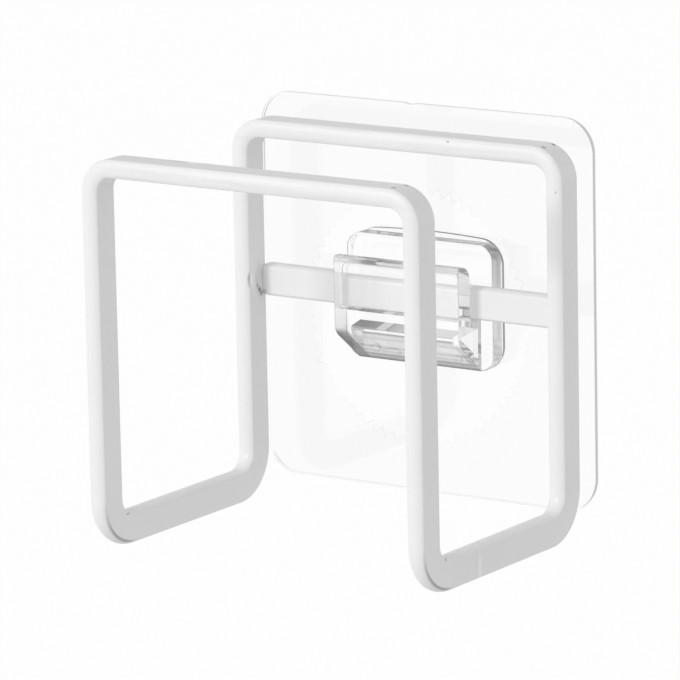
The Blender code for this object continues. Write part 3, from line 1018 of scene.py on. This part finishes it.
def addPuddles(shape, face):
    count = gluePuddles["rings"]
    for index, (centre, reach) in enumerate(gluePuddles["places"]):
        rings = []
        for ring in range(count):
            rise = quarterTurn * ring / (count - 0.5)
            points = []
            for step in range(gluePuddles["steps"]):
                turn = 2 * math.pi * step / gluePuddles["steps"]
                place = Vector((math.cos(turn), math.sin(turn), 3 * index))
                uneven = 1 + gluePuddles["uneven"] * noise.noise(place)
                across = reach[0] * uneven * math.cos(rise) * math.cos(turn)
                high = reach[1] * uneven * math.cos(rise) * math.sin(turn)
                forwards = gluePuddles["sunk"] + reach[2] * math.sin(rise)
                points.append(Vector((centre[0] + across, face / mm - forwards, centre[1] + high)) * mm)
            rings.append(points)
        takeIn(shape, sweep(rings, False))


def buildGlue(plateLoop, filmFront, plateBack):
    shape = layerShape("clip_bond", filmFront, plateBack, **layers["glue"])
    rim = openCap(shape, -1)[1]
    fillBetween(shape, rim + addLoop(shape, plateLoop), -1)
    filmLoop = openCap(shape, 1)[0]
    addPuddles(shape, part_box("hook_plate")[0].y)
    addPiece("glueLine", shape, makeClearPlastic(clearGlue), "wall_mount", "clear_bond", ["clip_bond"])
    return filmLoop


def buildAdhesive(backY, filmBack):
    shape = layerShape("adhesive_layer", backY, filmBack, **layers["film"])
    filmLoop = openCap(shape, -1)[0]
    gel = makeClearPlastic(gelAdhesive)
    addPiece("gelAdhesiveLayer", shape, gel, "wall_mount", "clear_adhesive", ["adhesive_layer"])
    return filmLoop


def buildFilm(glueLoop, gelLoop, filmBack, filmFront):
    shape = layerShape("backing_film", filmBack, filmFront, **layers["film"])
    for side, bonded in ((-1, glueLoop), (1, gelLoop)):
        rim = openCap(shape, side)[1]
        fillBetween(shape, rim + addLoop(shape, bonded), side)
    film = makeClearPlastic(polyesterFilm)
    addPiece("polyesterBackingFilm", shape, film, "wall_mount", "clear_film", ["backing_film"])


def buildLayers(plateLoop):
    filmLow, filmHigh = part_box("backing_film")
    glueLoop = buildGlue(plateLoop, filmLow.y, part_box("hook_plate")[1].y)
    gelLoop = buildAdhesive(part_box("adhesive_layer")[1].y, filmHigh.y)
    buildFilm(glueLoop, gelLoop, filmHigh.y, filmLow.y)


buildLayers(plateLoop)
print("layers stuck down")


# Studio: pale floor, white surround and one soft key light

studio = {
    "floorDepth": 0.35,  # below the origin
    "floorSize": 8,
    "floorColour": "#DCDCDC",
    "floorWhite": 0.97,  # share of the floor that shows as plain white, the rest keeps the shadow
    "horizon": 0.91,  # how bright the surround lights the object from the side
    "overhead": 0.65,  # and from above
    "tilt": 0.02,  # how much brighter the surround is at the back and the left
    "seenOverhead": 0.44,  # how bright the dark upper room shows in gloss and through clear pieces
    "seenFront": 0.45,  # and the room in front, where the photographer stands
    "lightRise": (0, 0.9),  # upward slopes between which the lighting level changes
    "seenRise": (0.02, 0.3),  # and between which the room overhead shows
    "seenAhead": (0.1, -0.6),  # and, along Y, the room in front
    "keyWay": (-0.37, -0.88, 0.30),
    "keyDistance": 4,
    "keySize": 0.85,
    "keyPower": 52,
}


def makeFloor(setup):
    half = setup["floorSize"] / 2
    shape = bmesh.new()
    bmesh.ops.create_grid(shape, x_segments=8, y_segments=8, size=half)
    mesh = bpy.data.meshes.new("studioFloor")
    shape.to_mesh(mesh)
    shape.free()
    floor = bpy.data.objects.new("studioFloor", mesh)
    floor.location = (0, 0, -setup["floorDepth"])
    bpy.context.scene.collection.objects.link(floor)
    material = bpy.data.materials.new("paleStudioFloor")
    material.use_nodes = True
    tree = material.node_tree
    tree.nodes.clear()
    path = addNode(tree, "LightPath").outputs
    seen = path["Is Camera Ray"]
    for ray in ("Is Glossy Ray", "Is Transmission Ray"):
        seen = addNode(tree, "Math", {"operation": "MAXIMUM"}, {0: seen, 1: path[ray]})
    paint = addNode(tree, "BsdfDiffuse", inputs={"Color": toLinear(setup["floorColour"])})
    white = addNode(tree, "Emission", inputs={"Color": (1, 1, 1, 1), "Strength": 1})
    share = addNode(tree, "Math", multiply, {0: seen, 1: setup["floorWhite"]})
    mixed = addNode(tree, "MixShader", inputs={0: share, 1: paint, 2: white})
    addNode(tree, "OutputMaterial", inputs={"Surface": mixed})
    mesh.materials.append(material)


def makeWorld(setup):
    world = bpy.data.worlds.new("softStudio")
    world.use_nodes = True
    bpy.context.scene.world = world
    tree = world.node_tree
    tree.nodes.clear()
    way = addNode(tree, "TexCoord").outputs["Generated"]
    parts = addNode(tree, "SeparateXYZ", inputs={"Vector": way}).outputs
    path = addNode(tree, "LightPath").outputs
    lighting = addNode(tree, "MapRange", smooth, {
        "Value": parts["Z"],
        "From Min": setup["lightRise"][0],
        "From Max": setup["lightRise"][1],
        "To Min": setup["horizon"],
        "To Max": setup["overhead"],
    })
    slope = addNode(tree, "Math", subtract, {0: parts["Y"], 1: parts["X"]})
    side = addNode(tree, "Math", {"operation": "MULTIPLY_ADD"}, {0: slope, 1: setup["tilt"], 2: 1})
    gathered = addNode(tree, "Math", multiply, {0: lighting, 1: side})
    showing = addNode(tree, "MapRange", smooth, {
        "Value": parts["Z"],
        "From Min": setup["seenRise"][0],
        "From Max": setup["seenRise"][1],
        "To Min": 1,
        "To Max": setup["seenOverhead"],
    })
    ahead = addNode(tree, "MapRange", smooth, {
        "Value": parts["Y"],
        "From Min": setup["seenAhead"][0],
        "From Max": setup["seenAhead"][1],
        "To Min": 1,
        "To Max": setup["seenFront"],
    })
    # Straight through the clear sheet, seen from the back, the room in front is as white as the rest.
    mirrored = addNode(tree, "Math", moreThan, {0: path["Glossy Depth"], 1: 0.5})
    front = addNode(tree, "Mix", inputs={"Factor": mirrored, "A": 1.0, "B": ahead})
    shown = addNode(tree, "Math", {"operation": "MINIMUM"}, {0: showing, 1: front})
    # Light that a matt surface gathers, also through a clear piece, comes from the lighting level.
    matt = addNode(tree, "Math", moreThan, {0: path["Diffuse Depth"], 1: 0.5})
    level = addNode(tree, "Mix", inputs={"Factor": matt, "A": shown, "B": gathered})
    level = addNode(tree, "Mix", inputs={
        "Factor": path["Is Camera Ray"], "A": level, "B": 1.0,
    })
    light = addNode(tree, "Background", inputs={"Color": (1, 1, 1, 1), "Strength": level})
    addNode(tree, "OutputWorld", inputs={"Surface": light})


def makeKey(setup):
    way = Vector(setup["keyWay"]).normalized()
    lamp = bpy.data.lights.new("softKey", "AREA")
    lamp.shape = "SQUARE"
    lamp.size = setup["keySize"]
    lamp.energy = setup["keyPower"]
    key = bpy.data.objects.new("softKey", lamp)
    key.location = way * setup["keyDistance"]
    key.rotation_mode = "QUATERNION"
    key.rotation_quaternion = way.to_track_quat("Z", "Y")
    key.visible_transmission = False  # through the clear pieces it would be a hard white patch
    bpy.context.scene.collection.objects.link(key)


makeFloor(studio)
makeWorld(studio)
makeKey(studio)
bpy.context.scene.view_settings.view_transform = "Standard"
print("studio lit")
